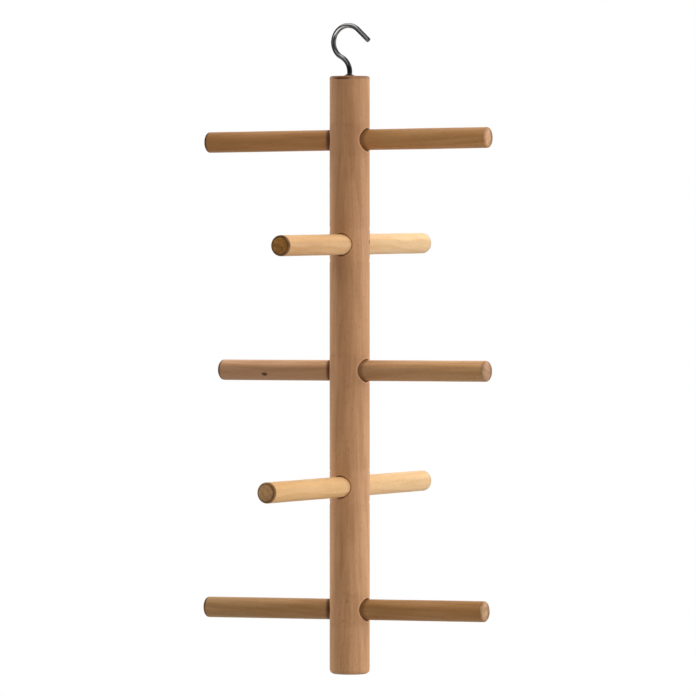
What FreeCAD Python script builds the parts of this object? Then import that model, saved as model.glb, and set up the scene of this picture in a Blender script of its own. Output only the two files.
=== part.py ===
import FreeCAD, Part
import math
import os

# Hanging climbing frame for cage birds, in millimetres with +Z up: a round post, cross-drilled
# for five dowel perches, that hangs from an open wire hook screwed into its top end.
# The origin is the saddle of the hook, where it bears on the bar that it hangs from, and the
# axis of the post runs through it. X runs along perches 1, 3 and 5, and Y along perches 2 and 4.

# Post
post_diameter = 23.2
post_top_easing = 1.2
post_foot_easing = 2.8
post_top_above_first_perch = 36.85
post_foot_below_last_perch = 37.25

# Perches: plain dowels, glued into holes drilled right through the post
perch_diameter = 12.0
perch_length = 181.0
perch_spacing = 67.8
perch_end_easing = 1.2
perch_fit = 0.03
hole_rim_easing = 1.2

# How each perch, from the top down, is drilled and set off true: its rise above its even place
# down the post, its heading from +X, the lift of its leading end and its slip along itself
perch_places = {
    "perch_1": {"rise": 0.0, "heading": 2.3, "lift": 0.5, "slip": -1.7},
    "perch_2": {"rise": 7.5, "heading": 91.4, "lift": 0.5, "slip": 4.0},
    "perch_3": {"rise": 2.5, "heading": -3.7, "lift": 0.3, "slip": 2.5},
    "perch_4": {"rise": 3.3, "heading": 88.5, "lift": 0.4, "slip": -4.1},
    "perch_5": {"rise": 0.0, "heading": 1.5, "lift": 0.6, "slip": -3.0},
}

# Screw hook, bent from one wire in the XZ plane, the middle of its bowl set back from the post's axis
wire_diameter = 3.0
bowl_inside_radius = 8.15
bowl_set_back = 1.0
neck_inside_radius = 8.0
stem_rise = 2.45
tip_slope = 42.5
tip_run = 9.6
tip_easing = 0.5
screw_depth = 16.0
screw_point_length = 4.5
screw_point_diameter = 0.6

# Pilot hole for the hook, ended by the cone of a twist drill
screw_fit = 0.05
room_under_screw = 1.5
drill_point_angle = 118.0

# Limits of the modelling: the most of the wall beside a hole that its eased rim may take, the
# heading of the post's closing seam, clear of the holes, and how closely edges are told apart
rim_share_of_wall = 0.4
seam_heading = 45.0
tolerance = 0.001
points_on_edge = 9

# Sizes that follow from the ones above
post_radius = post_diameter / 2
perches_span = perch_spacing * (len(perch_places) - 1)
post_length = post_top_above_first_perch + perches_span + post_foot_below_last_perch
hole_radius = perch_diameter / 2 + perch_fit
rim_easing = min(hole_rim_easing, rim_share_of_wall * (post_radius - hole_radius))
wire_radius = wire_diameter / 2
bowl_radius = bowl_inside_radius + wire_radius
neck_radius = neck_inside_radius + wire_radius
# The neck and the bowl are tangent arcs, so the turn of the neck follows from their radii and places
neck_turn = math.acos((neck_radius - bowl_set_back) / (neck_radius + bowl_radius))
bowl_centre_z = -math.sqrt(bowl_inside_radius ** 2 - bowl_set_back ** 2)
neck_start_z = bowl_centre_z - (neck_radius + bowl_radius) * math.sin(neck_turn)
post_top_z = neck_start_z - stem_rise
post_foot_z = post_top_z - post_length

origin = FreeCAD.Vector(0, 0, 0)
along_x = FreeCAD.Vector(1, 0, 0)
along_y = FreeCAD.Vector(0, 1, 0)
along_z = FreeCAD.Vector(0, 0, 1)


def perch_heights():
    """Return the height of each perch's axis where it crosses the post."""
    heights = {}
    even_z = post_top_z - post_top_above_first_perch
    for name, place in perch_places.items():
        heights[name] = even_z + place["rise"]
        even_z -= perch_spacing
    return heights


def lay_across_post(shape, place, z):
    """Turn a shape that lies along X to a perch's heading and lift, and take it to its height."""
    shape.rotate(origin, along_y, -place["lift"])
    shape.rotate(origin, along_z, place["heading"])
    shape.translate(FreeCAD.Vector(0, 0, z))
    return shape


def edges_at_height(shape, z):
    """Return the level edges of a shape at one height."""
    level = [edge for edge in shape.Edges if edge.BoundBox.ZLength < tolerance]
    return [edge for edge in level if abs(edge.BoundBox.Center.z - z) < tolerance]


def hole_rims(post):
    """Return the saddle-shaped edges where the perch holes break through the post's side."""
    rims = []
    for edge in post.Edges:
        points = edge.discretize(points_on_edge)
        on_side = all(abs(math.hypot(p.x, p.y) - post_radius) < tolerance for p in points)
        is_straight = isinstance(edge.Curve, Part.Line)
        is_level = edge.BoundBox.ZLength < tolerance
        if on_side and not is_straight and not is_level:
            rims.append(edge)
    return rims


def make_post():
    """Turn the post, ease its ends, drill the perch holes and the pilot hole, and ease the hole rims."""
    post = Part.makeCylinder(post_radius, post_length, FreeCAD.Vector(0, 0, post_foot_z), along_z)
    post.rotate(origin, along_z, seam_heading)
    post = post.makeFillet(post_top_easing, edges_at_height(post, post_top_z))
    post = post.makeFillet(post_foot_easing, edges_at_height(post, post_foot_z))
    drill_length = 2 * post_diameter
    heights = perch_heights()
    for name, place in perch_places.items():
        drill = Part.makeCylinder(hole_radius, drill_length, FreeCAD.Vector(-drill_length / 2, 0, 0), along_x)
        post = post.cut(lay_across_post(drill, place, heights[name]))
    post = post.makeChamfer(rim_easing, hole_rims(post))
    pilot_radius = wire_radius + screw_fit
    pilot_depth = screw_depth + room_under_screw
    pilot_floor_z = post_top_z - pilot_depth
    drill_point = pilot_radius / math.tan(math.radians(drill_point_angle / 2))
    drill_tip = FreeCAD.Vector(0, 0, pilot_floor_z - drill_point)
    pilot = Part.makeCylinder(pilot_radius, pilot_depth, FreeCAD.Vector(0, 0, pilot_floor_z), along_z)
    cone = Part.makeCone(0, pilot_radius, drill_point, drill_tip, along_z)
    return post.cut(pilot.fuse(cone).removeSplitter())


def make_perch(place, z):
    """Cut a dowel to length, ease its two ends and push it through the post."""
    start = FreeCAD.Vector(place["slip"] - perch_length / 2, 0, 0)
    dowel = Part.makeCylinder(perch_diameter / 2, perch_length, start, along_x)
    ends = [edge for edge in dowel.Edges if isinstance(edge.Curve, Part.Circle)]
    return lay_across_post(dowel.makeChamfer(perch_end_easing, ends), place, z)


def on_circle(centre_x, centre_z, radius, angle):
    """Return the point of a circle in the XZ plane at an angle from +X towards +Z."""
    return FreeCAD.Vector(centre_x + radius * math.cos(angle), 0, centre_z + radius * math.sin(angle))


def make_screw_hook():
    """Sweep the wire up its stem, round the neck and the bowl and out to the tip, and point its screw end."""
    point_top = FreeCAD.Vector(0, 0, post_top_z - screw_depth + screw_point_length)
    neck_start = FreeCAD.Vector(0, 0, neck_start_z)
    neck_middle = on_circle(-neck_radius, neck_start_z, neck_radius, neck_turn / 2)
    neck_end = on_circle(-neck_radius, neck_start_z, neck_radius, neck_turn)
    bowl_start_angle = math.pi + neck_turn
    bowl_end_angle = math.pi / 2 - math.radians(tip_slope)
    bowl_middle_angle = (bowl_start_angle + bowl_end_angle) / 2
    bowl_middle = on_circle(-bowl_set_back, bowl_centre_z, bowl_radius, bowl_middle_angle)
    bowl_end = on_circle(-bowl_set_back, bowl_centre_z, bowl_radius, bowl_end_angle)
    slope = math.radians(tip_slope)
    tip_direction = FreeCAD.Vector(math.cos(slope), 0, -math.sin(slope))
    tip = bowl_end + tip_direction * tip_run
    path = Part.Wire([
        Part.LineSegment(point_top, neck_start).toShape(),
        Part.Arc(neck_start, neck_middle, neck_end).toShape(),
        Part.Arc(neck_end, bowl_middle, bowl_end).toShape(),
        Part.LineSegment(bowl_end, tip).toShape(),
    ])
    section = Part.Wire([Part.makeCircle(wire_radius, point_top, along_z)])
    wire = path.makePipeShell([section], True, False)
    tip_edges = [
        edge for edge in wire.Edges
        if isinstance(edge.Curve, Part.Circle) and (edge.Curve.Center - tip).Length < tolerance
    ]
    wire = wire.makeChamfer(tip_easing, tip_edges)
    point_base = FreeCAD.Vector(0, 0, post_top_z - screw_depth)
    point = Part.makeCone(screw_point_diameter / 2, wire_radius, screw_point_length, point_base, along_z)
    return wire.fuse(point).removeSplitter()


def save(name, shape):
    """Write one piece to its own file."""
    solid = shape.Solids[0]
    solid.exportStep(f"parts/{name}.step")
    print(name, "volume", round(solid.Volume, 1), "valid", solid.isValid(), "solids", len(shape.Solids))


os.makedirs("parts", exist_ok=True)
save("post", make_post())
for perch_name, perch_z in perch_heights().items():
    save(perch_name, make_perch(perch_places[perch_name], perch_z))
save("screw_hook", make_screw_hook())
print("post top", round(post_top_z, 3), "foot", round(post_foot_z, 3), "length", round(post_length, 3))
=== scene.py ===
import bpy, bmesh
from math import acos, atan2, ceil, cos, hypot, pi, radians, sin, sqrt
from mathutils import Euler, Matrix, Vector, noise


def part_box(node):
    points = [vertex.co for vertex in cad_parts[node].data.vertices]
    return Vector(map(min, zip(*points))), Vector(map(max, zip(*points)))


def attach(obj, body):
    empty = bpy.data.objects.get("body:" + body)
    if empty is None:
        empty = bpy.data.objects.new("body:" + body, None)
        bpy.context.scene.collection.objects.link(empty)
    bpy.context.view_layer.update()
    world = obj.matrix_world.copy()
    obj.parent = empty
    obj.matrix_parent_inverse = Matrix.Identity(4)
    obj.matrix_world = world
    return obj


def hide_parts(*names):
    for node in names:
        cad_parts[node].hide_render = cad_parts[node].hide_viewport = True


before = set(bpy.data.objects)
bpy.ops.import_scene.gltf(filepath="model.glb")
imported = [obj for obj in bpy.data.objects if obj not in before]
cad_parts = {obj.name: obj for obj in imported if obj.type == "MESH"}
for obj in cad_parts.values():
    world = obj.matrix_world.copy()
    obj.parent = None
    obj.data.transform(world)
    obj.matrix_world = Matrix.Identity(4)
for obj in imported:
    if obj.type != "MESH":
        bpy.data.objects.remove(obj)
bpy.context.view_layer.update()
print("frame loaded:", sorted(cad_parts))


# working in edit mode

closeBy = 1e-5  # how near a place a point counts as being at it
mergeReach = 2e-6
keyDigits = 7  # decimals of a metre by which points of a ring are told apart


def deselectAll():
    bpy.ops.object.select_all(action="DESELECT")


def takeUp(piece):
    deselectAll()
    piece.select_set(True)
    bpy.context.view_layer.objects.active = piece


def nameUp(piece, name):
    piece.name = name
    piece.data.name = name


def startEditing(piece, mode="EDGE"):
    takeUp(piece)
    bpy.ops.object.mode_set(mode="EDIT")
    bpy.ops.mesh.select_mode(type=mode)
    bpy.ops.mesh.select_all(action="DESELECT")


def stopEditing():
    bpy.ops.object.mode_set(mode="OBJECT")


def pickEdges(piece, test):  # test sees the edge's two ends
    mesh = bmesh.from_edit_mesh(piece.data)
    for edge in mesh.edges:
        edge.select_set(test(edge.verts[0].co, edge.verts[1].co))
    mesh.select_flush_mode()
    bmesh.update_edit_mesh(piece.data)


def pickFaces(piece, test):  # test sees the face's middle and normal
    bpy.ops.mesh.select_mode(type="FACE")
    mesh = bmesh.from_edit_mesh(piece.data)
    mesh.normal_update()
    for face in mesh.faces:
        face.select_set(test(face.calc_center_median(), face.normal))
    mesh.select_flush_mode()
    bmesh.update_edit_mesh(piece.data)


def closeMesh(piece):  # merges doubles and turns the faces outwards
    startEditing(piece, "VERT")
    bpy.ops.mesh.select_all(action="SELECT")
    bpy.ops.mesh.remove_doubles(threshold=mergeReach)
    bpy.ops.mesh.normals_make_consistent(inside=False)
    stopEditing()
    bpy.ops.object.shade_smooth()


def roughen(piece, depth, grainSize):  # the slight unevenness left by turning and sanding
    cloud = bpy.data.textures.new(piece.name + "Unevenness", "CLOUDS")
    cloud.noise_scale = grainSize
    cloud.noise_depth = 1
    uneven = piece.modifiers.new("uneven", "DISPLACE")
    uneven.texture = cloud
    uneven.texture_coords = "LOCAL"
    uneven.strength = depth
    uneven.mid_level = 0.5
    takeUp(piece)
    bpy.ops.object.modifier_apply(modifier=uneven.name)


def ringKey(point):
    return tuple(round(value, keyDigits) for value in point)


def startRing(points):  # a circle primitive with its points set out
    deselectAll()
    bpy.ops.mesh.primitive_circle_add(vertices=len(points), radius=1, fill_type="NOTHING")
    sheet = bpy.context.object
    for vertex, point in zip(sheet.data.vertices, points):
        vertex.co = point
    return sheet


def sweepSheet(rings, closeEnd=False):  # extrudes the first ring and leads each extrusion to the next
    rings = [[Vector(point) for point in ring] for ring in rings]
    sheet = startRing(rings[0])
    startEditing(sheet, "VERT")
    bpy.ops.mesh.select_all(action="SELECT")
    for last, points in zip(rings, rings[1:]):
        bpy.ops.mesh.extrude_region_move()
        leads = {ringKey(old): new for old, new in zip(last, points)}
        mesh = bmesh.from_edit_mesh(sheet.data)
        for vertex in mesh.verts:
            if vertex.select:
                vertex.co = leads[ringKey(vertex.co)]
        bmesh.update_edit_mesh(sheet.data)
    if closeEnd:
        bpy.ops.mesh.merge(type="CENTER")
    stopEditing()
    return sheet


def joinSheets(name, sheets):
    deselectAll()
    for sheet in sheets:
        sheet.select_set(True)
    bpy.context.view_layer.objects.active = sheets[0]
    bpy.ops.object.join()
    piece = bpy.context.object
    nameUp(piece, name)
    return piece


def paintPoints(piece, name, rule):  # a value from 0 to 1 at each point of the mesh
    layer = piece.data.attributes.new(name, "FLOAT", "POINT")
    layer.data.foreach_set("value", [rule(vertex.co) for vertex in piece.data.vertices])


def ease(value):
    value = min(1.0, max(0.0, value))
    return value * value * (3 - 2 * value)


# perches: straight dowels with rounded ends

perchRod = {
    "length": 0.181,
    "diameter": 0.0120,
    "endEasing": 0.0014,
    "easingSteps": 7,
    "endInsets": (0.08, 0.2, 0.3, 0.3),  # rings over the end grain, in radii
    "levelNormal": 0.999,
    "sides": 72,
    "cuts": 72,
    "unevenness": 0.00012,
    "unevenLength": 0.035,
    "places": {  # heading from +X and lift of the leading end, in degrees
        "perch_1": {"heading": 2.3, "lift": 0.5},
        "perch_2": {"heading": 91.4, "lift": 0.5},
        "perch_3": {"heading": -3.7, "lift": 0.3},
        "perch_4": {"heading": 88.5, "lift": 0.4},
        "perch_5": {"heading": 1.5, "lift": 0.6},
    },
}
perchHalf, perchRadius = perchRod["length"] / 2, perchRod["diameter"] / 2


def perchAxis(place):
    heading, lift = radians(place["heading"]), radians(place["lift"])
    return Vector((cos(heading) * cos(lift), sin(heading) * cos(lift), sin(lift)))


def perchMiddle(name):
    low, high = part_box(name)
    return (low + high) / 2


def perchTurn(place):  # stands the dowel's own Z along the perch
    return Euler((0, pi / 2 - radians(place["lift"]), radians(place["heading"])), "XYZ")


def makePerch(name, place):
    deselectAll()
    bpy.ops.mesh.primitive_cylinder_add(vertices=perchRod["sides"], radius=perchRadius,
                                        depth=perchRod["length"])
    perch = bpy.context.object
    nameUp(perch, name.replace("_", "Dowel"))
    startEditing(perch)
    pickEdges(perch, lambda a, b: abs(a.z - b.z) > perchHalf)
    bpy.ops.mesh.subdivide(number_cuts=perchRod["cuts"])
    atEnd = perchHalf - closeBy
    pickEdges(perch, lambda a, b: min(abs(a.z), abs(b.z)) > atEnd)
    bpy.ops.mesh.bevel(offset=perchRod["endEasing"], segments=perchRod["easingSteps"], profile=0.5,
                       affect="EDGES")
    pickFaces(perch, lambda middle, normal: abs(middle.z) > atEnd and abs(normal.z) > perchRod["levelNormal"])
    for share in perchRod["endInsets"]:
        bpy.ops.mesh.inset(thickness=share * perchRadius, use_individual=True)
    bpy.ops.mesh.merge(type="COLLAPSE")
    stopEditing()
    perch.rotation_euler = perchTurn(place)
    perch.location = perchMiddle(name)
    takeUp(perch)
    bpy.ops.object.transform_apply(location=True, rotation=True, scale=True)
    roughen(perch, perchRod["unevenness"], perchRod["unevenLength"])
    closeMesh(perch)
    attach(perch, "climbing_frame")
    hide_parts(name)
    return perch


perches = {name: makePerch(name, place) for name, place in perchRod["places"].items()}
print("perches made:", sorted(perches))


# post: a turned rod, cross-drilled, each hole's rim rounded over

postRod = {
    "columns": 96,
    "sideSteps": 28,
    "mouthHalfHeight": 0.0105,
    "holeRoom": 0.00003,
    "rimEasing": 0.0012,
    "rimSteps": 7,
    "boreShare": 0.6,  # place of the one ring down the bore, from the post's axis to the rim
    "spread": (0.05, 0.13, 0.28, 0.55, 1.0),  # rings from a hole's rim out to its tile
    "rowHeight": 0.008,
    "topEasing": 0.0012,
    "footEasing": 0.0028,
    "easingSteps": 8,
    "topInsets": (0.9, 0.75, 0.55),  # rings over the flat of each end, in its radii
    "footInsets": (0.85, 0.65, 0.45, 0.25, 0.1, 0.02),
    "pilotRadius": 0.00155,
    "pilotDepth": 0.0175,
    "pilotPoint": 0.0009,
    "pilotPointRadius": 0.0001,
    "pilotLip": 0.0006,
    "tornRise": 0.0013,  # fibres lifted where the screw went in
    "tornReach": 0.0030,
    "tornShares": (0.75, 0.5, 0.3, 0.15, 0.05, 0.0),
    "tornCurve": 1.5,
    "tornLevel": (0.55, 0.9),  # mean height and raggedness
    "tornRagged": (2.1, 5.3),  # radius and height of the circle through the noise
    "rimShadeReach": (0.6, 0.5),  # painted shade, in rim easings: all round a hole, and more above and below
    "rimShadeBeside": {"X": 0.6, "Y": 0.18},  # share of the painted shade at the sides of the holes along X and Y
    "rimLightWidth": 0.4,  # in rim easings
    "rimLightBand": (0.5, 2.6),  # where the painted highlight begins and ends, in those widths
    "rimLightShare": {"X": 1.0, "Y": 0.4},
    "unevenness": 0.00014,
    "unevenLength": 0.045,
}
postLow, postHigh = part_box("post")
postRadius = (postHigh.x - postLow.x) / 2
postTop, postFoot = postHigh.z, postLow.z
holeRadius = perchRod["diameter"] / 2 + postRod["holeRoom"]


def crossing(name, place):  # where the perch's axis meets the axis of the post
    axis, middle = perchAxis(place), perchMiddle(name)
    slip = hypot(middle.x, middle.y)
    slipsAhead = middle.x * axis.x + middle.y * axis.y > 0
    return middle - axis * (slip if slipsAhead else -slip)


crossings = {name: crossing(name, place) for name, place in perchRod["places"].items()}


def onPost(angle, z, radius):
    return Vector((radius * cos(angle), radius * sin(angle), z))


def tileEdge(centre, z):  # the edge of a half-round tile of the post's side, as (angle, height, turn)
    half, steps = postRod["columns"] // 4, postRod["sideSteps"]
    wide, tall = pi / 2, postRod["mouthHalfHeight"]
    across = [i / half for i in range(-half, half)]
    upward = [-1 + 2 * i / steps for i in range(steps)]
    edge = [(u, -1.0) for u in across] + [(1.0, v) for v in upward]
    edge += [(-u, 1.0) for u in across] + [(-1.0, -v) for v in upward]
    return [(centre + u * wide, z + v * tall, atan2(v, u)) for u, v in edge]


def boreRing(cross, right, up, radius, turns):  # a bore of this radius where it passes the post's axis
    return [cross + (right * cos(turn) + up * sin(turn)) * radius for turn in turns]


def mouthRing(bore, outward):  # where that bore breaks out of the post
    ring = []
    for start in bore:
        a = outward.x ** 2 + outward.y ** 2
        b = start.x * outward.x + start.y * outward.y
        c = start.x ** 2 + start.y ** 2 - postRadius ** 2
        ring.append(start + outward * ((-b + sqrt(b * b - a * c)) / a))
    return ring


def makeMouth(cross, outward, centre):
    right = Vector((0, 0, 1)).cross(outward).normalized()
    up = outward.cross(right).normalized()
    edge = tileEdge(centre, cross.z)
    turns = [turn for _, _, turn in edge]
    bore = boreRing(cross, right, up, holeRadius, turns)
    rim = mouthRing(bore, outward)
    outer = mouthRing(boreRing(cross, right, up, holeRadius + postRod["rimEasing"], turns), outward)
    inner = [point - outward * postRod["rimEasing"] for point in rim]
    rings = [bore, [a.lerp(b, postRod["boreShare"]) for a, b in zip(bore, inner)], inner]
    for step in range(1, postRod["rimSteps"]):  # a curve led by the sharp rim
        s = step / postRod["rimSteps"]
        rings.append([i.lerp(r, s).lerp(r.lerp(o, s), s) for i, r, o in zip(inner, rim, outer)])
    rings.append(outer)
    for share in postRod["spread"]:
        ring = []
        for point, (angle, z, _) in zip(outer, edge):
            start = atan2(point.y, point.x)
            start += 2 * pi * round((angle - start) / (2 * pi))
            ring.append(onPost(start + (angle - start) * share, point.z + (z - point.z) * share, postRadius))
        rings.append(ring)
    return sweepSheet(rings)


def tornFibre(angle):
    radius, height = postRod["tornRagged"]
    mean, ragged = postRod["tornLevel"]
    return mean + ragged * noise.noise(Vector((radius * cos(angle), radius * sin(angle), height)))


def postRing(z, radius, rise=0.0):
    columns = postRod["columns"]
    angles = [2 * pi * i / columns for i in range(columns)]
    return [onPost(angle, z + rise * tornFibre(angle), radius) for angle in angles]


def rowsBetween(low, high):
    count = max(1, ceil((high - low) / postRod["rowHeight"]))
    return [low + (high - low) * i / count for i in range(count + 1)]


def easedEnd(z, easing, way):  # quarter round from the post's side onto its end
    steps = postRod["easingSteps"]
    rings = []
    for step in range(1, steps + 1):
        turn = pi / 2 * step / steps
        rings.append(postRing(z - way * easing * (1 - sin(turn)), postRadius - easing * (1 - cos(turn))))
    return rings


def makePostTop(low):
    easing, bore = postRod["topEasing"], postRod["pilotRadius"]
    rings = [postRing(z, postRadius) for z in rowsBetween(low, postTop - easing)]
    rings += easedEnd(postTop, easing, 1)
    flat = postRadius - easing
    rings += [postRing(postTop, share * flat) for share in postRod["topInsets"]]
    rings.append(postRing(postTop, bore + postRod["tornReach"]))
    for share in postRod["tornShares"]:
        rise = postRod["tornRise"] * (1 - share) ** postRod["tornCurve"]
        rings.append(postRing(postTop, bore + postRod["tornReach"] * share, rise))
    floor = postTop - postRod["pilotDepth"]
    rings.append(postRing(postTop - postRod["pilotLip"], bore))
    rings.append(postRing(floor, bore))
    rings.append(postRing(floor - postRod["pilotPoint"], postRod["pilotPointRadius"]))
    return sweepSheet(rings, closeEnd=True)


def makePostFoot(high):
    easing = postRod["footEasing"]
    rows = list(reversed(rowsBetween(postFoot + easing, high)))
    rings = [postRing(z, postRadius) for z in rows] + easedEnd(postFoot, easing, -1)
    flat = postRadius - easing
    rings += [postRing(postFoot, flat * share) for share in postRod["footInsets"]]
    return sweepSheet(rings, closeEnd=True)


def holeSide(p):
    return "X" if abs(p.x) > abs(p.y) else "Y"


def fromHole(p):  # distance from the nearest hole's wall, in rim easings, and how far up or down its rim
    near = min(crossings, key=lambda name: abs(crossings[name].z - p.z))
    away = p - crossings[near]
    along = perchAxis(perchRod["places"][near])
    far = (away - along * away.dot(along)).length
    return (far - holeRadius) / postRod["rimEasing"], abs(away.z) / far


def paintedRimShade(p):  # painted shade in the gap round each hole, darkest above and below the perch
    far, upright = fromHole(p)
    allRound, more = postRod["rimShadeReach"]
    beside = postRod["rimShadeBeside"][holeSide(p)]
    return (1 - ease(far / (allRound + more * upright ** 3))) * (beside + (1 - beside) * upright ** 2)


def paintedRimLight(p):  # painted highlight at the outer edge of the rounded rims
    far, _ = fromHole(p)
    begin, end = postRod["rimLightBand"]
    share = ease(far / postRod["rimLightWidth"] - begin) * (1 - ease(far / postRod["rimLightWidth"] - end))
    return share * postRod["rimLightShare"][holeSide(p)]


def makePost():
    sheets = []
    tall = postRod["mouthHalfHeight"]
    for name, place in perchRod["places"].items():
        axis = perchAxis(place)
        centre = round(radians(place["heading"]) / (pi / 2)) * pi / 2
        sheets.append(makeMouth(crossings[name], axis, centre))
        sheets.append(makeMouth(crossings[name], -axis, centre + pi))
    heights = sorted((cross.z for cross in crossings.values()), reverse=True)
    for above, below in zip(heights, heights[1:]):
        rows = rowsBetween(below + tall, above - tall)
        sheets.append(sweepSheet([postRing(z, postRadius) for z in rows]))
    sheets.append(makePostTop(heights[0] + tall))
    sheets.append(makePostFoot(heights[-1] - tall))
    post = joinSheets("turnedPost", sheets)
    closeMesh(post)
    paintPoints(post, "rimShadePaint", paintedRimShade)
    paintPoints(post, "rimLightPaint", paintedRimLight)
    roughen(post, postRod["unevenness"], postRod["unevenLength"])
    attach(post, "climbing_frame")
    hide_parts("post")
    return post


post = makePost()
print("post made:", len(post.data.polygons), "faces")


# screw hook: one wire, bent round a neck and a bowl and out to its tip

screwHook = {
    "sides": 48,
    "neckRadius": 0.0095,
    "neckSteps": 26,
    "bowlSetBack": 0.0010,
    "bowlSteps": 72,
    "tipSlope": 42.5,
    "tipRun": 0.0096,
    "tipSteps": 6,
    "tipEasing": 0.0006,
    "tipEasingSteps": 5,
    "tipReach": 1.01,  # in wire radii, takes in the edge of the tip
    "tipInset": 0.4,
    "pointLength": 0.0045,
    "pointRadius": 0.0002,
    "threadPitch": 0.0013,
    "threadDepth": 0.0004,
    "threadFlank": 1.5,
    "threadRings": 110,
    "plainShank": 0.0035,  # left without thread under the post's top
}
hookLow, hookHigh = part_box("screw_hook")
wireRadius = (hookHigh.y - hookLow.y) / 2
bowlAside = -screwHook["bowlSetBack"]
bowlRadius = bowlAside - hookLow.x - wireRadius
bowlHeight = hookHigh.z - wireRadius - bowlRadius
bowlMiddle = (bowlAside, 0, bowlHeight)
neckTurn = acos((screwHook["neckRadius"] + bowlAside) / (screwHook["neckRadius"] + bowlRadius))
neckStart = bowlHeight - (screwHook["neckRadius"] + bowlRadius) * sin(neckTurn)
tipSlope = radians(screwHook["tipSlope"])
tipOutward = Vector((cos(tipSlope), 0, -sin(tipSlope)))
bowlEnd = Vector((bowlAside + bowlRadius * sin(tipSlope), 0, bowlHeight + bowlRadius * cos(tipSlope)))
hookTip = bowlEnd + tipOutward * screwHook["tipRun"]


def threadRing(z):
    angles = [2 * pi * i / screwHook["sides"] for i in range(screwHook["sides"])]
    fade = ease((postTop - screwHook["plainShank"] - z) / screwHook["threadPitch"])
    taper = min(1.0, (z - hookLow.z) / screwHook["pointLength"])
    ring = []
    for angle in angles:
        turn = (z / screwHook["threadPitch"] - angle / (2 * pi)) % 1.0
        groove = ease(abs(2 * turn - 1) * screwHook["threadFlank"])
        radius = (wireRadius - screwHook["threadDepth"] * groove * fade) * taper
        radius = max(radius, screwHook["pointRadius"])
        ring.append((radius * cos(angle), radius * sin(angle), z))
    return ring


def makeHook():
    bowlTurn = pi / 2 + neckTurn + tipSlope
    threadTop = postTop - screwHook["plainShank"] + screwHook["threadPitch"]
    count = screwHook["threadRings"]
    rings = [threadRing(hookLow.z + (threadTop - hookLow.z) * i / count) for i in range(count + 1)]
    rings += [threadRing(postTop), threadRing((postTop + neckStart) / 2), threadRing(neckStart)]
    hook = sweepSheet(rings)
    nameUp(hook, "bentHook")
    bpy.ops.object.mode_set(mode="EDIT")  # the top ring is still selected
    bpy.ops.mesh.spin(steps=screwHook["neckSteps"], angle=neckTurn,
                      center=(-screwHook["neckRadius"], 0, neckStart), axis=(0, 1, 0))
    bpy.ops.mesh.spin(steps=screwHook["bowlSteps"], angle=bowlTurn, center=bowlMiddle, axis=(0, -1, 0))
    run = tipOutward * (screwHook["tipRun"] / screwHook["tipSteps"])
    for _ in range(screwHook["tipSteps"]):
        bpy.ops.mesh.extrude_region_move(TRANSFORM_OT_translate={"value": run})
    bpy.ops.mesh.edge_face_add()
    bpy.ops.mesh.select_mode(type="EDGE")
    reach = screwHook["tipReach"] * wireRadius
    pickEdges(hook, lambda a, b: max((a - hookTip).length, (b - hookTip).length) < reach)
    bpy.ops.mesh.bevel(offset=screwHook["tipEasing"], segments=screwHook["tipEasingSteps"], profile=0.5,
                       affect="EDGES")
    pickFaces(hook, lambda middle, normal: (middle - hookTip).length < closeBy)
    bpy.ops.mesh.inset(thickness=screwHook["tipInset"] * wireRadius)
    bpy.ops.mesh.merge(type="COLLAPSE")
    bpy.ops.mesh.select_mode(type="EDGE")
    pickEdges(hook, lambda a, b: max(a.z, b.z) < hookLow.z + closeBy)
    bpy.ops.mesh.merge(type="COLLAPSE")
    stopEditing()
    closeMesh(hook)
    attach(hook, "hook")
    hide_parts("screw_hook")
    return hook


hook = makeHook()
print("hook made:", len(hook.data.polygons), "faces")


# building node trees

def addNode(tree, kind, feeds=None, **settings):
    node = tree.nodes.new("ShaderNode" + kind)
    for name, value in settings.items():
        setattr(node, name, value)
    for socket, value in (feeds or {}).items():
        if isinstance(value, bpy.types.NodeSocket):
            tree.links.new(value, node.inputs[socket])
        else:
            node.inputs[socket].default_value = value
    return node


def compute(tree, operation, *values):  # a number from numbers
    return addNode(tree, "Math", dict(enumerate(values)), operation=operation).outputs[0]


def combine(tree, operation, *values):  # a vector from vectors
    return addNode(tree, "VectorMath", dict(enumerate(values)), operation=operation).outputs[0]


def measure(tree, operation, *values):  # a number from vectors
    return addNode(tree, "VectorMath", dict(enumerate(values)), operation=operation).outputs["Value"]


def fromUpright(tree, point):  # distance from the Z axis
    return measure(tree, "LENGTH", combine(tree, "MULTIPLY", point, (1, 1, 0)))


def fadeBetween(tree, value, start, end, low=0.0, high=1.0):
    feeds = {"Value": value, "From Min": start, "From Max": end, "To Min": low, "To Max": high}
    return addNode(tree, "MapRange", feeds, interpolation_type="SMOOTHSTEP").outputs["Result"]


def mixColour(tree, share, first, second, blend="MIX"):
    node = addNode(tree, "Mix", {0: share, 6: first, 7: second}, data_type="RGBA", blend_type=blend)
    return node.outputs[2]


def tint(tree, colour, second):
    return mixColour(tree, 1.0, colour, second, "MULTIPLY")


def stretchedNoise(tree, point, stretch, detail, roughness):
    feeds = {"Vector": combine(tree, "MULTIPLY", point, stretch), "Scale": 1.0, "Detail": detail,
             "Roughness": roughness}
    return addNode(tree, "TexNoise", feeds).outputs["Fac"]


def stretchedSpecks(tree, point, stretch, edge):
    cells = addNode(tree, "TexVoronoi", {"Vector": combine(tree, "MULTIPLY", point, stretch), "Scale": 1.0})
    return fadeBetween(tree, cells.outputs["Distance"], *edge)


def addBump(tree, surface, height, finish):
    feeds = {"Strength": finish["bumpStrength"], "Distance": finish["bumpDistance"], "Height": height}
    tree.links.new(addNode(tree, "Bump", feeds).outputs[0], surface.inputs["Normal"])


def newGroup(name, inputs, outputs):
    tree = bpy.data.node_groups.new(name, "ShaderNodeTree")
    for label, kind, value in inputs:
        socket = tree.interface.new_socket(label, in_out="INPUT", socket_type="NodeSocket" + kind)
        socket.default_value = value
    for label in outputs:
        tree.interface.new_socket(label, in_out="OUTPUT", socket_type="NodeSocketFloat")
    return tree, tree.nodes.new("NodeGroupInput").outputs, tree.nodes.new("NodeGroupOutput").inputs


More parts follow.
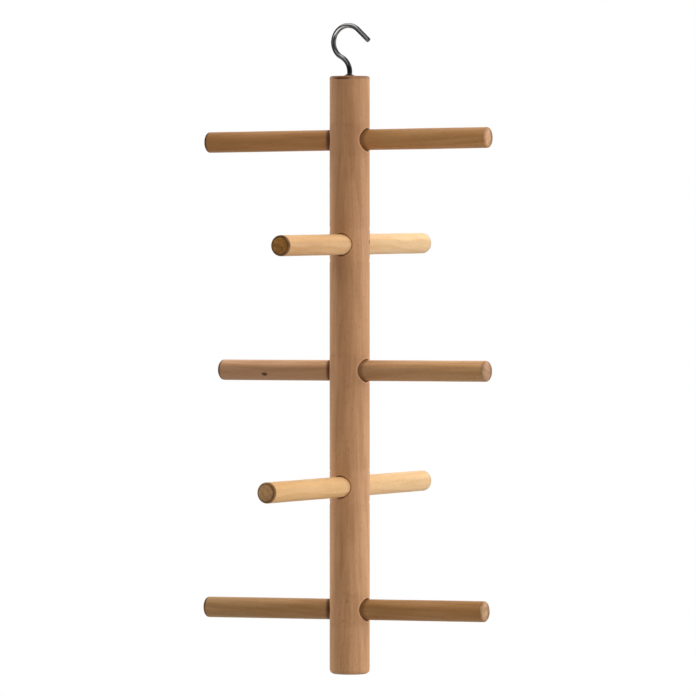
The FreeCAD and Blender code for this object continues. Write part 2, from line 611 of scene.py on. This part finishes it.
def newMaterial(name):
    material = bpy.data.materials.new(name)
    material.use_nodes = True
    tree = material.node_tree
    return material, tree, tree.nodes["Principled BSDF"]


def setMaterial(piece, material):
    piece.data.materials.clear()
    piece.data.materials.append(material)


# wood: growth rings about a pith off to one side, long fibres, pores and ray flecks

woodGrain = {  # noises have a stretch across and along the fibres, detail and roughness; specks an edge
    "slow": ((45, 45, 11), 2.0, 0.45),
    "fibre": ((2600, 2600, 45), 2.0, 0.6),
    "streak": ((420, 420, 14), 3.0, 0.55),
    "blotch": ((130, 130, 26), 2.0, 0.5),
    "pores": ((2100, 2100, 170), (0.34, 0.12)),
    "flecks": ((780, 780, 230), (0.24, 0.1)),
    "lateRise": (0.15, 0.82),  # where in a ring the late wood darkens, and where it stops
    "lateFall": (1.0, 0.84),
    "yearDepth": (0.6, 0.4),  # how far rings differ from each other, and the least of them
}


def makeWoodFigure():
    tree, given, result = newGroup(
        "woodFigure",
        [("Point", "Vector", (0, 0, 0)), ("Ring Width", "Float", 0.002), ("Wander", "Float", 0.004)],
        ["Rings", "Fibre", "Streak", "Blotch", "Pores", "Flecks"],
    )
    point = given["Point"]
    slow = compute(tree, "SUBTRACT", stretchedNoise(tree, point, *woodGrain["slow"]), 0.5)
    wander = compute(tree, "MULTIPLY", slow, given["Wander"])
    count = compute(tree, "ADD", fromUpright(tree, point), wander)
    count = compute(tree, "DIVIDE", count, given["Ring Width"])
    place = compute(tree, "FRACT", count)
    late = compute(tree, "MULTIPLY", fadeBetween(tree, place, *woodGrain["lateRise"]),
                   fadeBetween(tree, place, *woodGrain["lateFall"]))
    year = addNode(tree, "TexWhiteNoise", {"W": compute(tree, "FLOOR", count)}, noise_dimensions="1D")
    year = compute(tree, "MULTIPLY_ADD", year.outputs["Value"], *woodGrain["yearDepth"])
    figure = {
        "Rings": compute(tree, "MULTIPLY", late, year),
        "Fibre": stretchedNoise(tree, point, *woodGrain["fibre"]),
        "Streak": stretchedNoise(tree, point, *woodGrain["streak"]),
        "Blotch": stretchedNoise(tree, point, *woodGrain["blotch"]),
        "Pores": stretchedSpecks(tree, point, *woodGrain["pores"]),
        "Flecks": stretchedSpecks(tree, point, *woodGrain["flecks"]),
    }
    for label, socket in figure.items():
        tree.links.new(socket, result[label])
    return tree


woodFigure = makeWoodFigure()

# what all the rods share; lengths are in metres, edges run from none to all of an effect
woodFinish = {
    "meanDepth": 0.57,  # between pale and deep, whatever the weights of the figure
    "noiseMean": 0.5,
    "ringMean": 0.21,
    "fibreWeight": 0.3,
    "darkShare": (0.45, 0.45, 0.45),  # darker tones, as shares of deep
    "markAndShadeShare": (0.2, 0.13, 0.07),
    "rimShadeTone": (0.2, 0.12, 0.035),
    "poreDepth": 0.2,
    "fleckDepth": 0.3,
    "markEdge": (1.25, 0.55),  # in half sizes of the mark
    # painted light on the upper side of the rods:
    "topLightEdge": (-0.15, -0.65),  # in radii towards the upper side
    "topLightTone": (1.5, 1.5, 1.5),
    "leadingBand": (-0.01, 0.01),  # along the rod, from its trailing to its leading half
    "endEdge": (0.0006, 0.0001),
    "sawnNoise": ((320, 320, 320), 3.0, 0.6),
    "sawnBand": (0.3, 0.7),
    "ringEdge": (0.0021, 0.0014),  # from the end
    "ringInside": (0.0017, 0.0010),  # in from the side
    "farBand": (0.1, 0.6),  # in radii
    "nearToFar": (-0.1, 0.6),
    "ringBreakBand": (0.35, 0.6),
    "ringBreakShare": (0.75, 1.0),
    "entryEdge": (0.0032, 0.0008),  # painted shade, out from the post's side
    "entryBand": (-0.004, 0.004),
    "rimLightStrength": 0.5,
    "rimLightTone": 1.4,
    "rimShadeStrength": 0.95,
    "roughness": (0.16, 0.46),  # by the fibres, and the least
    "endRoughness": 0.2,
    "specular": 0.35,
    "poreHeight": -0.7,
    "ringHeight": -0.25,
    "bumpStrength": 0.5,
    "bumpDistance": 0.00006,
}

# lengthToneAndLight: tints of the trailing and the leading end, partly painted light along the rod and partly
# the wood's own tone
# topPaintedLight: how far the upper side is lightened, a painted top light
# endRing: dark ring at the trailing end, then at the near and the far side of the leading one
# endSpill: reach of the leading end's tone over its easing, and of its ring over its far face
# paintedEntryShade: painted shade on a perch beside the post, on the trailing and the leading side
# marks: place, half sizes and depth of each, in the rod's own frame
sidePerch = {
    "streaks": 1.1, "clouds": 1.1, "rings": 0.42,
    "endSpill": (0.0006, 0.0034), "paintedEntryShade": (0.97, 0.5), "marks": (),
}
frontPerch = {**sidePerch, "endSpill": (0.0, 0.0), "paintedEntryShade": (0.12, 0.3)}
woodTones = {
    "post": {
        "pale": (0.697, 0.408, 0.233), "deep": (0.494, 0.268, 0.141),
        "streaks": 1.5, "clouds": 0.9, "rings": 0.26,
        "ringWidth": 0.0052, "wander": 0.010, "pith": (0.0144, -0.0263), "runOut": (-2.5, -1.4),
        "lengthToneAndLight": ((1.11, 1.14, 1.15), (0.93, 0.92, 0.92)), "topPaintedLight": 0.0,
        "endTone": (0.50, 0.46, 0.42), "mottle": 0.14, "endRing": (0.1, 0.3, 0.3),
        "endSpill": (0.0, 0.0), "paintedEntryShade": (0.0, 0.0),
        "marks": (
            ((0.0012, -0.0115, 0.1713), (0.0058, 0.0040, 0.0008), 0.78),
            ((0.0041, -0.0108, -0.1304), (0.0006, 0.0006, 0.0007), 0.45),
            ((0.0018, -0.0115, -0.1415), (0.0006, 0.0006, 0.0006), 0.35),
            ((0.0, -0.0116, 0.0800), (0.0042, 0.0042, 0.0340), 0.2),
            # painted shadow of the far hole's rim, at the post's right edge beside the second perch
            ((0.0108, 0.0042, 0.0770), (0.0013, 0.0013, 0.0013), 0.95),
        ),
    },
    "perch_1": {
        **sidePerch,
        "pale": (0.608, 0.332, 0.142), "deep": (0.465, 0.230, 0.083),
        "ringWidth": 0.0034, "wander": 0.009, "pith": (0.011, 0.016), "runOut": (2.2, 3.4),
        "lengthToneAndLight": ((0.86, 0.82, 0.74), (1.10, 1.14, 1.22)), "topPaintedLight": 0.0,
        "endTone": (0.93, 1.02, 1.44), "mottle": 0.14, "endRing": (0.85, 0.15, 0.52),
    },
    "perch_2": {
        **frontPerch,
        "pale": (0.827, 0.580, 0.337), "deep": (0.674, 0.427, 0.214),
        "ringWidth": 0.0040, "wander": 0.010, "pith": (-0.016, 0.008), "runOut": (4.5, -3.2),
        "lengthToneAndLight": ((0.88, 0.80, 0.73), (1.09, 1.18, 1.27)), "topPaintedLight": 0.46,
        "endTone": (0.58, 0.49, 0.26), "mottle": 0.3, "endRing": (1.0, 0.4, 0.4),
    },
    "perch_3": {
        **sidePerch,
        "pale": (0.674, 0.432, 0.258), "deep": (0.518, 0.300, 0.155),
        "ringWidth": 0.0031, "wander": 0.008, "pith": (0.013, -0.012), "runOut": (-2.2, 3.0),
        "lengthToneAndLight": ((0.92, 0.91, 1.03), (1.02, 1.00, 0.90)), "topPaintedLight": 0.72,
        "endTone": (0.70, 0.72, 0.92), "mottle": 0.14, "endRing": (0.95, 0.15, 0.46),
        "marks": (((0.0023, -0.0055, -0.0577), (0.0011, 0.0030, 0.0021), 1.0),),
    },
    "perch_4": {
        **frontPerch,
        "pale": (0.877, 0.606, 0.332), "deep": (0.714, 0.451, 0.212),
        "ringWidth": 0.0036, "wander": 0.008, "pith": (-0.012, -0.018), "runOut": (2.4, 2.8),
        "lengthToneAndLight": ((0.97, 0.93, 0.88), (1.05, 1.11, 1.22)), "topPaintedLight": 0.25,
        "endTone": (0.74, 0.74, 0.85), "mottle": 0.2, "endRing": (0.82, 0.4, 0.4),
    },
    "perch_5": {
        **sidePerch,
        "pale": (0.579, 0.347, 0.164), "deep": (0.440, 0.240, 0.093),
        "ringWidth": 0.0037, "wander": 0.009, "pith": (0.017, 0.010), "runOut": (3.0, -2.2),
        "lengthToneAndLight": ((0.96, 1.02, 1.15), (0.96, 0.88, 0.80)), "topPaintedLight": 0.2,
        "endTone": (1.00, 1.20, 1.80), "mottle": 0.2, "endRing": (0.85, 0.15, 0.52),
    },
}


def opaque(colour):
    return (*colour, 1.0)


def shareOf(colour, shares):
    return opaque([value * share for value, share in zip(colour, shares)])


def rodSockets(tree, middle, turn, half):  # places on a rod, in its own frame with Z along it
    spot = addNode(tree, "TexCoord").outputs["Object"]
    feeds = {"Vector": spot, "Location": middle, "Rotation": turn}
    point = addNode(tree, "Mapping", feeds, vector_type="TEXTURE").outputs[0]
    axes = addNode(tree, "SeparateXYZ", {0: point}).outputs
    return {
        "spot": spot,
        "point": point,
        "x": axes["X"],
        "y": axes["Y"],
        "along": axes["Z"],
        "toEnd": compute(tree, "SUBTRACT", half, compute(tree, "ABSOLUTE", axes["Z"])),
        "leading": fadeBetween(tree, axes["Z"], *woodFinish["leadingBand"]),
    }


def placeFigure(tree, tone, rod):  # the rod was cut beside the pith and a little across the grain
    turn = [radians(angle) for angle in tone["runOut"]]
    feeds = {"Vector": rod["point"], "Location": (*tone["pith"], 0), "Rotation": (*turn, 0)}
    lean = addNode(tree, "Mapping", feeds).outputs[0]
    feeds = {"Point": lean, "Ring Width": tone["ringWidth"], "Wander": tone["wander"]}
    return addNode(tree, "Group", feeds, node_tree=woodFigure).outputs


def grainColour(tree, tone, rod, figure, half):
    fibres = woodFinish["fibreWeight"]
    level = woodFinish["meanDepth"] - woodFinish["noiseMean"] * (tone["streaks"] + tone["clouds"] + fibres)
    depth = level - woodFinish["ringMean"] * tone["rings"]
    weights = {"Streak": tone["streaks"], "Blotch": tone["clouds"], "Rings": tone["rings"], "Fibre": fibres}
    for label, weight in weights.items():
        depth = compute(tree, "MULTIPLY_ADD", figure[label], weight, depth)
    colour = mixColour(tree, depth, opaque(tone["pale"]), opaque(tone["deep"]))
    # partly painted light: the rod's colour shifted from one end to the other
    lengthways = addNode(tree, "MapRange", {"Value": rod["along"], "From Min": -half, "From Max": half})
    trailing, leading = tone["lengthToneAndLight"]
    shift = mixColour(tree, lengthways.outputs["Result"], opaque(trailing), opaque(leading))
    colour = tint(tree, colour, shift)
    dark = shareOf(tone["deep"], woodFinish["darkShare"])
    for label, share in (("Pores", woodFinish["poreDepth"]), ("Flecks", woodFinish["fleckDepth"])):
        colour = mixColour(tree, compute(tree, "MULTIPLY", figure[label], share), colour, dark)
    return colour


def addMarks(tree, tone, rod, colour, markAndShade):  # knots, streaks and stray flecks, and on the post one painted shadow spot
    for place, size, strength in tone["marks"]:
        offset = combine(tree, "DIVIDE", combine(tree, "SUBTRACT", rod["point"], place), size)
        mark = fadeBetween(tree, measure(tree, "LENGTH", offset), *woodFinish["markEdge"], 0.0, strength)
        colour = mixColour(tree, mark, colour, markAndShade)
    return colour


# painted light: the upper side of a rod lightened
def paintTopLight(tree, tone, rod, colour, radius):
    start, end = [share * radius for share in woodFinish["topLightEdge"]]
    upper = fadeBetween(tree, rod["x"], start, end, 0.0, tone["topPaintedLight"])
    return mixColour(tree, upper, colour, tint(tree, colour, opaque(woodFinish["topLightTone"])))


def sawEnds(tree, tone, rod, colour, ends):
    sawn = stretchedNoise(tree, rod["spot"], *woodFinish["sawnNoise"])
    sawn = fadeBetween(tree, sawn, *woodFinish["sawnBand"], 1 - tone["mottle"], 1 + tone["mottle"])
    return mixColour(tree, ends, colour, tint(tree, tint(tree, colour, opaque(tone["endTone"])), sawn))


def ringEnds(tree, tone, rod, figure, colour, radius, markAndShade):  # darker rings round the ends
    start, end = [share * radius for share in woodFinish["farBand"]]
    farSide = compute(tree, "MULTIPLY", rod["leading"], fadeBetween(tree, rod["y"], start, end))
    outer = compute(tree, "MULTIPLY_ADD", farSide, tone["endSpill"][1], fromUpright(tree, rod["point"]))
    outer = fadeBetween(tree, outer, *[radius - inside for inside in woodFinish["ringInside"]])
    ring = compute(tree, "MULTIPLY", fadeBetween(tree, rod["toEnd"], *woodFinish["ringEdge"]), outer)
    ringBreakup = fadeBetween(tree, figure["Blotch"], *woodFinish["ringBreakBand"], *woodFinish["ringBreakShare"])
    trailingRing, nearRing, farRing = tone["endRing"]
    start, end = [share * radius for share in woodFinish["nearToFar"]]
    leadingRing = fadeBetween(tree, rod["y"], start, end, nearRing, farRing)
    ringByEnd = fadeBetween(tree, rod["along"], *woodFinish["leadingBand"], trailingRing, leadingRing)
    ring = compute(tree, "MULTIPLY", ring, compute(tree, "MULTIPLY", ringBreakup, ringByEnd))
    return mixColour(tree, ring, colour, markAndShade)


def paintEntryShade(tree, tone, rod, colour, markAndShade):  # painted shade where a perch goes into the post
    reach = [postRadius + out for out in woodFinish["entryEdge"]]
    beside = fadeBetween(tree, fromUpright(tree, rod["spot"]), *reach)
    side = fadeBetween(tree, rod["along"], *woodFinish["entryBand"], *tone["paintedEntryShade"])
    return mixColour(tree, compute(tree, "MULTIPLY", beside, side), colour, markAndShade)


def paintRims(tree, tone, colour):  # painted highlight and painted shade on the rims; only the post has these two attributes
    rimLit = opaque([min(1.0, value * woodFinish["rimLightTone"]) for value in tone["pale"]])
    paintedRimShade = shareOf(tone["deep"], woodFinish["rimShadeTone"])
    for name, share, second in (("rimLightPaint", woodFinish["rimLightStrength"], rimLit),
                                ("rimShadePaint", woodFinish["rimShadeStrength"], paintedRimShade)):
        painted = addNode(tree, "Attribute", attribute_name=name).outputs["Fac"]
        colour = mixColour(tree, compute(tree, "MULTIPLY", painted, share), colour, second)
    return colour


def makeWood(name, tone, middle, turn, half, radius):
    material, tree, surface = newMaterial(name + "Wood")
    rod = rodSockets(tree, middle, turn, half)
    figure = placeFigure(tree, tone, rod)
    # dark tone for knots, end rings and painted shade
    markAndShade = shareOf(tone["deep"], woodFinish["markAndShadeShare"])
    spilt = compute(tree, "MULTIPLY_ADD", rod["leading"], -tone["endSpill"][0], rod["toEnd"])
    ends = fadeBetween(tree, spilt, *woodFinish["endEdge"])
    colour = grainColour(tree, tone, rod, figure, half)
    colour = addMarks(tree, tone, rod, colour, markAndShade)
    colour = paintTopLight(tree, tone, rod, colour, radius)
    colour = sawEnds(tree, tone, rod, colour, ends)
    colour = ringEnds(tree, tone, rod, figure, colour, radius, markAndShade)
    colour = paintEntryShade(tree, tone, rod, colour, markAndShade)
    colour = paintRims(tree, tone, colour)
    tree.links.new(colour, surface.inputs["Base Color"])
    rough = compute(tree, "MULTIPLY_ADD", figure["Fibre"], *woodFinish["roughness"])
    rough = compute(tree, "MULTIPLY_ADD", ends, woodFinish["endRoughness"], rough)
    tree.links.new(rough, surface.inputs["Roughness"])
    surface.inputs["Specular IOR Level"].default_value = woodFinish["specular"]
    height = compute(tree, "MULTIPLY_ADD", figure["Pores"], woodFinish["poreHeight"], figure["Fibre"])
    height = compute(tree, "MULTIPLY_ADD", figure["Rings"], woodFinish["ringHeight"], height)
    addBump(tree, surface, height, woodFinish)
    return material


for name, perch in perches.items():
    turn = perchTurn(perchRod["places"][name])
    setMaterial(perch, makeWood(name, woodTones[name], perchMiddle(name), turn, perchHalf, perchRadius))
postMiddle, postHalf = (0, 0, (postTop + postFoot) / 2), (postTop - postFoot) / 2
setMaterial(post, makeWood("post", woodTones["post"], postMiddle, (0, 0, 0), postHalf, postRadius))
print("wood finished")


# plated steel

platedSteel = {
    "colour": (0.60, 0.60, 0.61, 1.0),
    "dull": (0.42, 0.42, 0.43, 1.0),
    "dullNoise": ((420, 420, 420), 3.0, 0.6),
    "dullBand": (0.42, 0.68),
    "darkened": (0.07, 0.07, 0.07, 1.0),
    "stemDarkReach": (0.0072, 0.0048),  # above the post, where the stem darkens
    "stemDarkShare": 0.9,
    "stemDarkFoot": (0.0008, 0.0024),  # and pales again
    "stemDarkFootShare": 0.5,
    "rubbedInside": (0.1, 0.65),  # in wire radii, within the middle of the bowl's wire
    "rubbedAbove": (0.2, 0.5),  # in bowl radii, above the bowl's middle
    "rubbedShare": 0.75,
    "cutReach": (1.14, 0.98),  # in wire radii from the tip
    "cutShare": 0.85,
    "roughness": (0.10, 0.10),  # by the dull clouds, and the least
    "cutRoughness": 0.35,
    "scratches": ((9000, 9000, 900), 2.0, 0.5),
    "bumpStrength": 0.15,
    "bumpDistance": 0.00002,
}


def makeSteel():
    material, tree, surface = newMaterial("platedSteel")
    spot = addNode(tree, "TexCoord").outputs["Object"]
    height = addNode(tree, "SeparateXYZ", {0: spot}).outputs["Z"]
    cloud = stretchedNoise(tree, spot, *platedSteel["dullNoise"])
    dull = fadeBetween(tree, cloud, *platedSteel["dullBand"])
    colour = mixColour(tree, dull, platedSteel["colour"], platedSteel["dull"])
    reach = [postTop + above for above in platedSteel["stemDarkReach"]]
    foot = [postTop + above for above in platedSteel["stemDarkFoot"]]
    # the stem darker just above the post
    stemDark = fadeBetween(tree, height, *reach, 0.0, platedSteel["stemDarkShare"])
    faded = fadeBetween(tree, height, *foot, platedSteel["stemDarkFootShare"], 1.0)
    stemDark = compute(tree, "MULTIPLY", stemDark, faded)
    aside = combine(tree, "MULTIPLY", combine(tree, "SUBTRACT", spot, bowlMiddle), (1, 0, 1))
    inside = [bowlRadius - share * wireRadius for share in platedSteel["rubbedInside"]]
    above = [bowlHeight + share * bowlRadius for share in platedSteel["rubbedAbove"]]
    rubbed = fadeBetween(tree, measure(tree, "LENGTH", aside), *inside, 0.0, platedSteel["rubbedShare"])
    rubbed = compute(tree, "MULTIPLY", rubbed, fadeBetween(tree, height, *above))
    fromTip = measure(tree, "LENGTH", combine(tree, "SUBTRACT", spot, hookTip))
    reach = [share * wireRadius for share in platedSteel["cutReach"]]
    cut = fadeBetween(tree, fromTip, *reach, 0.0, platedSteel["cutShare"])
    for share in (stemDark, rubbed, cut):  # the stem's foot, where it bears on a bar, and the bare cut end
        colour = mixColour(tree, share, colour, platedSteel["darkened"])
    tree.links.new(colour, surface.inputs["Base Color"])
    rough = compute(tree, "MULTIPLY_ADD", cloud, *platedSteel["roughness"])
    rough = compute(tree, "MULTIPLY_ADD", cut, platedSteel["cutRoughness"], rough)
    tree.links.new(rough, surface.inputs["Roughness"])
    surface.inputs["Metallic"].default_value = 1.0
    addBump(tree, surface, stretchedNoise(tree, spot, *platedSteel["scratches"]), platedSteel)
    return material


setMaterial(hook, makeSteel())
print("steel finished")


# camera at the photograph's place

viewCamera = {
    "azimuth": 28.64,  # degrees round from -Y towards +X
    "distance": 3.601,
    "height": -0.127,
    "pixelsPerMetre": 1730.9,
    "frameSize": 696,
    "postTopRow": 76.3,
    "postAxisColumn": 349.7,
    "sensor": 36.0,
    "clipEnd": 50,
}
azimuth = radians(viewCamera["azimuth"])
towardCamera = Vector((sin(azimuth), -cos(azimuth), 0))
cameraRight = Vector((cos(azimuth), sin(azimuth), 0))


def placeCamera():
    data = bpy.data.cameras.new("viewCamera")
    camera = bpy.data.objects.new("viewCamera", data)
    bpy.context.scene.collection.objects.link(camera)
    centre = viewCamera["frameSize"] / 2
    aside = (centre - viewCamera["postAxisColumn"]) / viewCamera["pixelsPerMetre"]
    below = postTop - (centre - viewCamera["postTopRow"]) / viewCamera["pixelsPerMetre"]
    aim = cameraRight * aside + Vector((0, 0, below))
    camera.location = towardCamera * viewCamera["distance"] + Vector((0, 0, viewCamera["height"]))
    toAim = aim - camera.location
    camera.rotation_euler = toAim.to_track_quat("-Z", "Y").to_euler()
    data.sensor_width = viewCamera["sensor"]
    data.lens = viewCamera["sensor"] * toAim.length * viewCamera["pixelsPerMetre"] / viewCamera["frameSize"]
    data.clip_end = viewCamera["clipEnd"]
    bpy.context.scene.camera = camera


placeCamera()
print("camera placed")


# floor, lamps and surroundings

studio = {
    "middle": (0, 0, -0.19),
    "floorHeight": -0.62,
    "floorRadius": 1.4,
    "floorSides": 96,
    "floorFade": 0.35,  # share of the radius where it begins to fade out
    "floorRoughness": 0.9,
    "floorSeen": (0.88, 0.87, 0.85, 1.0),
    "floorLit": (0.31, 0.29, 0.265, 1.0),
    "white": (1, 1, 1, 1),
    "fill": (0.43, 0.37, 0.29, 1.0),
    "backdrop": (1.05, 1.0, 0.94, 1.0),
    "backdropBand": (0.15, -0.45),  # how far towards the camera a direction points
    "fromBelow": 0.7,
    "belowBand": (-0.75, 0.1),  # how far up it points
    "lamps": {  # degrees to the camera's right, degrees up, distance, size, power, colour
        "key": (66, 0, 1.4, 1.3, 10.85, (1.0, 0.98, 0.95)),
        "rightBack": (106, 16, 1.3, 0.9, 3.0, (1.0, 0.98, 0.95)),
        "overBack": (180, 52, 1.3, 0.8, 4.4, (1.0, 0.99, 0.97)),
        "leftBack": (-118, 8, 1.3, 0.9, 5.6, (1.0, 0.99, 0.97)),
        "above": (0, 86, 1.3, 0.9, 2.9, (1.0, 0.99, 0.97)),
    },
    "dark": (0.06, 0.06, 0.06, 1.0),
    "reflections": {  # what metal sees: degrees right, up and tilted, half length, half width, brightness
        "windowStrip": (-27, -31, 135, 43, 19, 2.1),
        "ceilingLeft": (-78, 68, 0, 40, 40, 0.95),
        "rightGrey": (80, 6, 90, 46, 32, 0.42),
        "frontGrey": (-24, 36, 30, 42, 20, 0.34),
    },
    "reflectionEdge": (1.0, 0.55),
    "reflectionFacing": (0.0, 0.2),
    "mirroredWhite": (-0.6, -0.9),  # away from the camera, where metal mirrors the white background
}


def directionFrom(aside, up):  # degrees to the camera's right and up, seen from the object
    turn, rise = radians(aside), radians(up)
    return (towardCamera * cos(turn) + cameraRight * sin(turn)) * cos(rise) + Vector((0, 0, sin(rise)))


def placeFloor():
    deselectAll()
    bpy.ops.mesh.primitive_circle_add(vertices=studio["floorSides"], radius=studio["floorRadius"],
                                      fill_type="NGON", location=(0, 0, studio["floorHeight"]))
    floor = bpy.context.object
    floor.name = "floor"
    material, tree, surface = newMaterial("paleFloor")
    path = addNode(tree, "LightPath").outputs
    seen = compute(tree, "MAXIMUM", path["Is Camera Ray"], path["Is Transmission Ray"])
    seen = compute(tree, "MAXIMUM", seen, path["Is Glossy Ray"])
    colour = mixColour(tree, seen, studio["floorLit"], studio["floorSeen"])
    tree.links.new(colour, surface.inputs["Base Color"])
    surface.inputs["Roughness"].default_value = studio["floorRoughness"]
    away = measure(tree, "LENGTH", addNode(tree, "TexCoord").outputs["Object"])
    fade = fadeBetween(tree, away, studio["floorFade"] * studio["floorRadius"], studio["floorRadius"])
    clear = addNode(tree, "BsdfTransparent")
    blend = addNode(tree, "MixShader", {0: fade, 1: surface.outputs[0], 2: clear.outputs[0]})
    tree.links.new(blend.outputs[0], tree.nodes["Material Output"].inputs["Surface"])
    floor.data.materials.append(material)


def placeLamp(name, aside, up, distance, size, power, colour):
    data = bpy.data.lights.new(name, "AREA")
    data.shape = "DISK"
    data.size = size
    data.energy = power
    data.color = colour
    lamp = bpy.data.objects.new(name, data)
    bpy.context.scene.collection.objects.link(lamp)
    away = directionFrom(aside, up)
    lamp.location = Vector(studio["middle"]) + away * distance
    lamp.rotation_euler = (-away).to_track_quat("-Z", "Y").to_euler()
    lamp.visible_glossy = False  # metal mirrors the surroundings, not the lamps


def reflectionPatch(tree, way, aside, up, tilt, long, wide):  # a soft oval in one direction
    lean = radians(tilt)
    level, upward = directionFrom(aside + 90, 0), directionFrom(aside, up + 90)
    lengthways = (level * cos(lean) + upward * sin(lean)) / sin(radians(long))
    across = (upward * cos(lean) - level * sin(lean)) / sin(radians(wide))
    parts = {0: measure(tree, "DOT_PRODUCT", way, lengthways), 1: measure(tree, "DOT_PRODUCT", way, across)}
    apart = measure(tree, "LENGTH", addNode(tree, "CombineXYZ", parts).outputs[0])
    facing = measure(tree, "DOT_PRODUCT", way, directionFrom(aside, up))
    return compute(tree, "MULTIPLY", fadeBetween(tree, apart, *studio["reflectionEdge"]),
                   fadeBetween(tree, facing, *studio["reflectionFacing"]))


def setSurroundings():
    world = bpy.data.worlds.new("studio")
    bpy.context.scene.world = world
    world.use_nodes = True
    tree = world.node_tree
    lit = tree.nodes["Background"]
    way = addNode(tree, "TexCoord").outputs["Generated"]
    path = addNode(tree, "LightPath").outputs
    ahead = measure(tree, "DOT_PRODUCT", way, towardCamera)
    rise = addNode(tree, "SeparateXYZ", {0: way}).outputs["Z"]
    behind = fadeBetween(tree, ahead, *studio["backdropBand"])
    ambient = mixColour(tree, behind, studio["fill"], studio["backdrop"])
    ambient = tint(tree, ambient, fadeBetween(tree, rise, *studio["belowBand"], studio["fromBelow"], 1.0))
    mirrored = studio["dark"]
    for *place, bright in studio["reflections"].values():
        patch = reflectionPatch(tree, way, *place)
        mirrored = mixColour(tree, patch, mirrored, (bright, bright, bright, 1.0))
    background = fadeBetween(tree, ahead, *studio["mirroredWhite"])
    mirrored = mixColour(tree, background, mirrored, studio["white"])
    colour = mixColour(tree, path["Is Glossy Ray"], ambient, mirrored)
    seen = compute(tree, "MAXIMUM", path["Is Camera Ray"], path["Is Transmission Ray"])
    tree.links.new(mixColour(tree, seen, colour, studio["white"]), lit.inputs["Color"])
    lit.inputs["Strength"].default_value = 1.0


placeFloor()
for lampName, lampPlace in studio["lamps"].items():
    placeLamp(lampName, *lampPlace)
setSurroundings()
bpy.context.scene.view_settings.view_transform = "Standard"
print("studio set")
